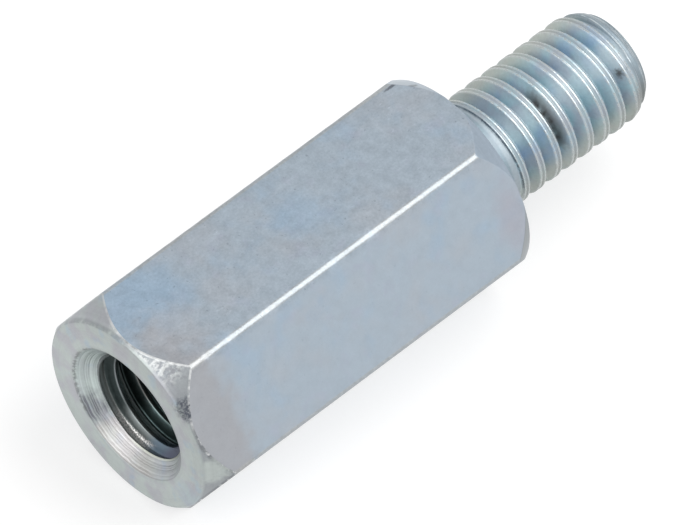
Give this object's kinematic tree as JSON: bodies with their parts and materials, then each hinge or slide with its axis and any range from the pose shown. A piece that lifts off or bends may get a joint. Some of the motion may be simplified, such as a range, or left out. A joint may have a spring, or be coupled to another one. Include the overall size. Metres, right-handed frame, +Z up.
{
  "type": "hex standoff",
  "caption": "Hexagonal spacer turned from one bar, with a countersunk threaded socket in one end and a threaded stud on the other.",
  "frame": {"origin": "on the surface that the standoff lies on, below the middle of its whole length", "axes": "+X along the turning axis towards the stud's tip, +Z up through the upper flat"},
  "size_m": [0.021, 0.008, 0.007],
  "materials": {
    "zinc_plate": "satin, bluish bright zinc plating on turned steel"
  },
  "bodies": {
    "root": {"hex_standoff": "zinc_plate"}
  },
  "joints": []
}
